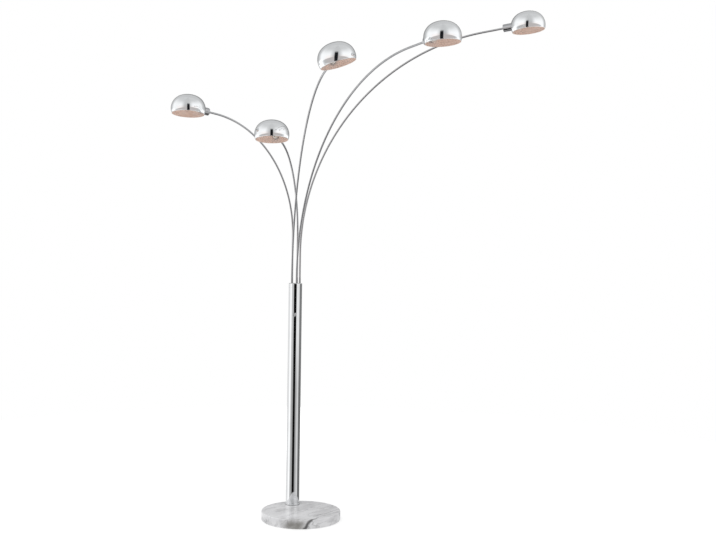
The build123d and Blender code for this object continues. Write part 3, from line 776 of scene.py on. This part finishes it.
class LAMP_OT_domes(LampOperator, bpy.types.Operator):
    """Spin the five domes, with a rolled rim and the hole for the knuckle"""

    bl_idname, bl_label = "lamp.domes", "Domes"

    def make(self, sizes):
        shoulder, bead, drop = sizes.shade_shoulder_radius, sizes.rim_bead, sizes.rim_drop
        reach = sizes.shade_diameter / 2 - shoulder
        depth = sqrt((sizes.shade_crown_radius - shoulder) ** 2 - reach ** 2)
        bend = degrees(atan2(depth, reach))

        def dome_line(offset, end):
            """Crown arc and shoulder arc, offset from the outside, down to a height above the widest line."""
            crown = arc_points((0, -depth), sizes.shade_crown_radius + offset, 90, bend, 16)
            side = arc_points((reach, 0), shoulder + offset, bend, degrees(asin(end / (shoulder + offset))), 36)
            crown[0] = (0, crown[0][1])
            return crown + side[1:]

        bead_z = bead - drop
        bead_r = reach + sqrt((shoulder - sizes.shade_wall / 2) ** 2 - bead_z ** 2)
        edge_z = 1.5 * bead + bead_z
        outside = dome_line(-2 * SHY, edge_z)
        hem = arc_points((bead_r - SHY, bead_z + SHY), bead, 35, -215, 14)
        inside = dome_line(-sizes.shade_wall, edge_z)[::-1]
        profile = outside + hem + inside
        edge = len(outside) + len(hem) // 2
        tags = [0 if k < edge else 1 for k in range(len(profile) - 1)]
        # The drill clears the nipple, and starts inside the knuckle.
        hole, drill_length, drill_start = sizes.nipple_diameter / 2 + SHY, 30 * MM, sizes.knuckle_length - 12 * MM
        drill = [(0, 0), (hole, 0), (hole, drill_length), (0, drill_length)]
        for number in ARMS:
            head = Head(number, sizes)
            item = add_object(f"dome_{number}", turned("dome", profile, DOME_SIDES, head.dome(), tags=tags))
            item.data.materials.append(finishes["chrome_shade"])
            item.data.materials.append(finishes["copper"])
            cutter = add_object("drill", turned("drill", drill, SMALL_SIDES, head.on_arm(drill_start)))
            cut = item.modifiers.new("hole", "BOOLEAN")
            cut.operation, cut.solver, cut.object = "DIFFERENCE", "EXACT", cutter
            data = plain_mesh(item, f"spun_dome_{number}")
            bpy.data.objects.remove(cutter)
            sharpen(data, 50)
            carry(add_object(f"spun_dome_{number}", data), f"head_{number}", "chrome_shade", f"shade_{number}")


class LAMP_OT_bulbs(LampOperator, bpy.types.Operator):
    """Blow the clear capsules and wind their filaments"""

    bl_idname, bl_label = "lamp.bulbs", "Bulbs"

    def make(self, sizes):
        radius, foot, wall = sizes.bulb_diameter / 2, sizes.bulb_base_diameter / 2, sizes.bulb_wall
        nib, back = sizes.bulb_nib_radius, -sizes.bulb_foot_length
        nose = sizes.bulb_length - radius
        crown = degrees(acos(nib / radius))
        glass = [(0, back, 0), (foot, back, 0.6), (foot, 0, 2.0), (radius, 3.2 * MM, 2.0), (radius, nose, 0)]
        outline = rounded(glass) + arc_points((0, nose), radius, 0, crown, 10)[1:]
        tip_z = outline[-1][1]
        outline += arc_points((0, tip_z), nib, 0, 90, 6)[1:]
        outline[-1] = (0, outline[-1][1])
        hollow = rounded([(0, 2.0 * MM, 0), (foot - wall, 2.0 * MM, 1.0), (radius - wall, 5.4 * MM, 1.6),
                          (radius - wall, nose, 0)])
        hollow += arc_points((0, nose), radius - wall, 0, 90, 10)[1:]
        hollow[-1] = (0, hollow[-1][1])
        coil = filament_shape().make(
            "filament", Turns=17.0, Coil_Radius=0.75 * MM, Coil_Length=13 * MM, Wire=0.13 * MM,
            Leg=8.5 * MM, Leg_Gap=4.4 * MM, Finish=finishes["tungsten"])
        for number in ARMS:
            place = Head(number, sizes).on_arm(sizes.holder_front)
            shell = turned("capsule", outline, SMALL_SIDES, place)
            void = turned("void", hollow, SMALL_SIDES, place)
            void.flip_normals()
            both = bmesh.new()
            both.from_mesh(shell)
            both.from_mesh(void)
            both.to_mesh(shell)
            both.free()
            shell.materials.append(finishes["glass"])
            sharpen(shell, 60)
            carry(add_object(f"capsule_{number}", shell), f"head_{number}", "glass", f"bulb_{number}")
            wire = coil.copy()
            wire.transform(place @ Matrix.Translation((0, 0, 10 * MM)))
            carry(add_object(f"filament_{number}", wire), f"head_{number}", "steel")


class LAMP_OT_seal(LampOperator, bpy.types.Operator):
    """Press the thin seal that shows under the foot collar"""

    bl_idname, bl_label = "lamp.seal", "Foot Seal"

    def make(self, sizes):
        low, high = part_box("foot_collar")
        centre, radius = (low + high) / 2, (high.x - low.x) / 2
        inner, outer, height = radius - 0.05 * MM, radius + sizes.seal_width, sizes.seal_height
        outline = [(inner, 0), (outer, 0), (outer, height * 0.6), (outer - height * 0.4, height), (inner, height)]
        place = Matrix.Translation((centre.x, centre.y, low.z))
        data = turned("foot_seal", outline, RING_SIDES, place, looped=True)
        data.materials.append(finishes["rubber"])
        sharpen(data, 30)
        carry(add_object("foot_seal", data), "stand", "rubber")


class LAMP_OT_knob(LampOperator, bpy.types.Operator):
    """Flute the switch knob"""

    bl_idname, bl_label = "lamp.knob", "Knob"

    def make(self, sizes):
        data = knob_shape().make(
            "knob", Diameter=sizes.knob_diameter, Length=sizes.knob_length, Edge=sizes.knob_edge,
            Flutes=sizes.knob_flutes, Flute_Depth=sizes.flute_depth, Flute_Length=sizes.flute_length,
            Finish=finishes["knob_chrome"])
        low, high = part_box("switch_knob")
        centre = (low + high) / 2
        data.transform(Matrix.Translation((centre.x, high.y, centre.z)) @ Matrix.Rotation(pi / 2, 4, "X"))
        sharpen(data, 40)
        carry(add_object("fluted_knob", data), "knob", "chrome", "switch_knob")


# ---------------------------------------------------------------- studio


def bearing(x, y):
    """Compass direction in degrees, from the front towards +X."""
    return x.math("ARCTAN2", y * -1.0) * DEGREES


def pole_centre():
    low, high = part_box("pole_tube")
    return (low + high) / 2


def screen_tone(x, y, low):
    """Grey level that the pole reflects, by compass direction from the front, towards +X.

    The lower part is greyer: low is 1 there and 0 at the top.
    """
    around = bearing(x, y)
    # Where the dark line in front starts.
    line = around.ramp(low * 5 - 22, low * 5 - 18)
    # From the back over the left: a dark edge, white, a bright band, then grey up to the dark line.
    left = 0.84 + around.ramp(-97, -89, 0, 0.32) - around.ramp(-62, -50, 0, 0.56)
    left = left - low * around.ramp(-60, -22, 0, 0.22) - line * (0.596 - low * 0.22)
    left = left - around.ramp(-150, -164) * (0.25 + low * 0.40)
    # From the dark line over the right: white, then a dark band that lightens at the back.
    right = around.ramp(25 - low * 4, 30 - low * 4) * (0.92 - low * around.ramp(72, 28, 0.14, 0.52))
    right = right - around.ramp(78, 88) * (0.70 - low * 0.08) + around.ramp(150, 168) * (0.20 - low * 0.20)
    return left + right


def shown_to(item, *rays):
    """Leaves an object of the studio visible only to these kinds of ray."""
    for ray in ("camera", "diffuse", "glossy", "transmission", "volume_scatter", "shadow"):
        setattr(item, f"visible_{ray}", ray in rays)


class LAMP_OT_studio(LampOperator, bpy.types.Operator):
    """Lay the white floor, light the studio and set the camera"""

    bl_idname, bl_label = "lamp.studio", "Studio"

    def make(self, sizes):
        studio = bpy.context.scene.lamp_studio
        self.make_world()
        self.make_floor(studio)
        self.make_screen(studio)
        self.make_flag(studio)
        self.make_light(studio)
        self.make_camera(studio)

    def bare_material(self, name):
        """A material with no nodes yet, which lights nothing by itself."""
        material = bpy.data.materials.new(name)
        material.use_nodes = True
        material.node_tree.nodes.clear()
        material.cycles.emission_sampling = "NONE"
        return material, Graph(material.node_tree)

    def emission(self, graph, strength, tint=(1, 1, 1)):
        return graph.add("ShaderNodeEmission", None, {"Color": tint, "Strength": strength})

    def dress(self, item, material, graph, surface):
        """Ends a bare material with its surface and puts it on its object."""
        graph.add("ShaderNodeOutputMaterial", None, {"Surface": surface})
        item.data.materials.append(material)

    def make_world(self):
        """White to the camera, plain to matt surfaces, and a studio with soft side lamps to the chrome."""
        world = bpy.data.worlds.new("studio")
        bpy.context.scene.world = world
        world.use_nodes = True
        world.node_tree.nodes.clear()
        graph = Graph(world.node_tree)
        x, y, z = graph.xyz(graph.add("ShaderNodeTexCoord", output="Generated"))
        height, turn = z.math("ARCSINE") * DEGREES, bearing(x, y)
        around = abs(turn)
        # Side lamps stand beside a grey wall that opens out towards the floor, and end behind the lamp.
        wall = height.ramp(0, 48, 0.57, 0.65)
        inner = 8.0 + (height - turn.ramp(-50, 50, -3, 3)).ramp(2, -9, 0, 66)
        lamp = (around - inner).ramp(0, 38) * (1.0 - around.ramp(98, 134) * height.ramp(-6, 4))
        lamp = lamp * height.ramp(12, 60, 0.56, 0.06)
        corner = around.ramp(84, 104) * height.ramp(4, -8, 0, 0.20)
        # A dark patch behind the lamp outlines the domes.
        rear = (y * 0.983 + z * 0.183).math("ARCCOSINE") * DEGREES
        level = (wall + lamp + corner) * rear.ramp(18, 42, 0.45, 1.0)
        # Low in front, the light is a little warm.
        front = (1.0 - around.ramp(50, 90)) * (1.0 - height.ramp(-2, 20))
        tint = graph.mix(front, (0.985, 0.995, 1.0), (1.0, 0.945, 0.925))
        paths = graph.add("ShaderNodeLightPath", output="Is Camera Ray")
        mirror = paths.output("Is Glossy Ray")
        clear = paths + paths.output("Is Transmission Ray")
        strength = mirror * level + clear + (1.0 - mirror) * (1.0 - clear) * 0.62
        shade = graph.mix(mirror, (1, 1, 1), tint)
        light = graph.add("ShaderNodeBackground", None, {"Color": shade, "Strength": strength})
        graph.add("ShaderNodeOutputWorld", None, {"Surface": light})

    def make_floor(self, studio):
        """White floor that keeps a soft shadow; the chrome sees the screen's tones in it."""
        rings = [(0, 0), (1, 0), (studio.floor_radius, 0)]
        floor = add_object("floor", turned("floor", rings, RING_SIDES, Matrix.Identity(4)))
        material, graph = self.bare_material("white_floor")
        x, y, _ = graph.xyz(graph.add("ShaderNodeTexCoord", output="Object"))
        centre = pole_centre()
        east, north = x - centre.x, y - centre.y
        # The chrome sees the screen's tones carried on over the floor inside the screen, and light grey beyond.
        near = 1.0 - (east * east + north * north).ramp(studio.screen_radius ** 2, studio.screen_radius ** 2 * 1.2)
        tone = 0.95 + (screen_tone(east, north, 1.0) - 0.95) * near
        seen = graph.add("ShaderNodeLightPath", output="Is Camera Ray")
        # The camera sees it glow, fully white away from the lamp, and take the lamp's shadow near it.
        white = (x * x + y * y).ramp(0.09, 2.2, 0.66, 1.0)
        matt = graph.add("ShaderNodeBsdfDiffuse", None, {"Color": (0.45, 0.45, 0.45)})
        plain = graph.add("ShaderNodeAddShader", None, {0: matt, 1: self.emission(graph, white)})
        level = (seen.output("Is Glossy Ray") * tone + seen.output("Is Diffuse Ray") * 0.85
                 + seen.output("Is Transmission Ray"))
        both = graph.add("ShaderNodeMixShader", None, {0: seen, 1: self.emission(graph, level), 2: plain})
        self.dress(floor, material, graph, both)

    def make_screen(self, studio):
        """Low round screen that only the chrome sees: its tones stand in the pole as upright stripes."""
        centre = pole_centre()
        place = Matrix.Translation((centre.x, centre.y, 0))
        radius = studio.screen_radius
        wall = [(radius, 0), (radius, studio.screen_height)]
        screen = add_object("screen", turned("screen", wall, DOME_SIDES, place))
        material, graph = self.bare_material("screen_tones")
        x, y, height = graph.xyz(graph.add("ShaderNodeTexCoord", output="Object"))
        tone = screen_tone(x - centre.x, y - centre.y, height.ramp(0.7, 0.28))
        self.dress(screen, material, graph, self.emission(graph, tone))
        shown_to(screen, "glossy")

    def make_flag(self, studio):
        """Soft-edged dark card in front that only the chrome sees: the dark bar in each dome."""
        x, y = studio.flag_place
        top = studio.flag_height
        data = bpy.data.meshes.new("flag")
        data.from_pydata([(x - 1, y, 0), (x + 1, y, 0), (x + 1, y, top), (x - 1, y, top)], [], [range(4)])
        material, graph = self.bare_material("dark_flag")
        across, _, height = graph.xyz(graph.add("ShaderNodeTexCoord", output="Object"))
        cover = (1.0 - abs(across - x).ramp(0.34, 0.60)) * (1.0 - height.ramp(2.8, 4.0))
        card = self.emission(graph, 1.0, (0.010, 0.011, 0.013))
        clear = graph.add("ShaderNodeBsdfTransparent")
        flag = add_object("flag", data)
        self.dress(flag, material, graph, graph.add("ShaderNodeMixShader", None, {0: cover, 1: clear, 2: card}))
        shown_to(flag, "glossy")

    def make_light(self, studio):
        lamp = bpy.data.lights.new("overhead", "AREA")
        lamp.shape = "RECTANGLE"
        lamp.size, lamp.size_y = studio.key_size
        lamp.energy = studio.key_strength
        item = add_object("overhead", lamp)
        item.location = studio.key_place
        item.rotation_euler = (Vector(studio.key_aim) - item.location).to_track_quat("-Z", "Y").to_euler()
        item.visible_glossy = False

    def make_camera(self, studio):
        pitch, roll = studio.camera_pitch, studio.camera_roll
        forward = Vector((0, cos(pitch), sin(pitch)))
        level = Vector((1, 0, 0))
        rise = level.cross(forward)
        right = level * cos(roll) + rise * sin(roll)
        up = rise * cos(roll) - level * sin(roll)
        data = bpy.data.cameras.new("camera")
        data.lens, data.sensor_width, data.sensor_fit = studio.lens, 36, "HORIZONTAL"
        data.clip_end = 100
        camera = add_object("camera", data)
        columns = Matrix((right, up, -forward)).transposed().to_4x4()
        camera.matrix_world = Matrix.Translation(studio.camera_place) @ columns
        bpy.context.scene.camera = camera
        bpy.context.scene.view_settings.view_transform = "Standard"


class LAMP_PT_panel(bpy.types.Panel):
    """Lists the steps that dress the lamp"""

    bl_idname, bl_label = "LAMP_PT_panel", "Tree Lamp"
    bl_space_type, bl_region_type, bl_category = "VIEW_3D", "UI", "Tree Lamp"

    def draw(self, context):
        scene = context.scene
        for operator in OPERATORS:
            self.layout.operator(operator.bl_idname)
        for owner in (scene.lamp_sizes, *scene.lamp_sizes.arms, scene.lamp_finishes, scene.lamp_studio):
            for name in owner.__annotations__:
                if name != "arms":
                    self.layout.prop(owner, name)


OPERATORS = (
    LAMP_OT_finishes, LAMP_OT_arms, LAMP_OT_domes, LAMP_OT_bulbs, LAMP_OT_seal, LAMP_OT_knob, LAMP_OT_studio,
)
CLASSES = (LAMP_PG_arm, LAMP_PG_sizes, LAMP_PG_finishes, LAMP_PG_studio, *OPERATORS, LAMP_PT_panel)


def register():
    for item in CLASSES:
        bpy.utils.register_class(item)
    scene = bpy.types.Scene
    scene.lamp_sizes = PointerProperty(type=LAMP_PG_sizes)
    scene.lamp_finishes = PointerProperty(type=LAMP_PG_finishes)
    scene.lamp_studio = PointerProperty(type=LAMP_PG_studio)


def unregister():
    scene = bpy.types.Scene
    del scene.lamp_sizes, scene.lamp_finishes, scene.lamp_studio
    for item in reversed(CLASSES):
        bpy.utils.unregister_class(item)


def main():
    register()
    arms = bpy.context.scene.lamp_sizes.arms
    for rise, radius, bend, run, heading, roll in ARM_COURSES:
        course = arms.add()
        course.rise, course.bend_radius, course.tip_run = rise * MM, radius * MM, run * MM
        course.bend_angle, course.heading, course.shade_roll = radians(bend), radians(heading), radians(roll)
    for operator in OPERATORS:
        group, name = operator.bl_idname.split(".")
        getattr(getattr(bpy.ops, group), name)()


if __name__ == "__main__":
    main()
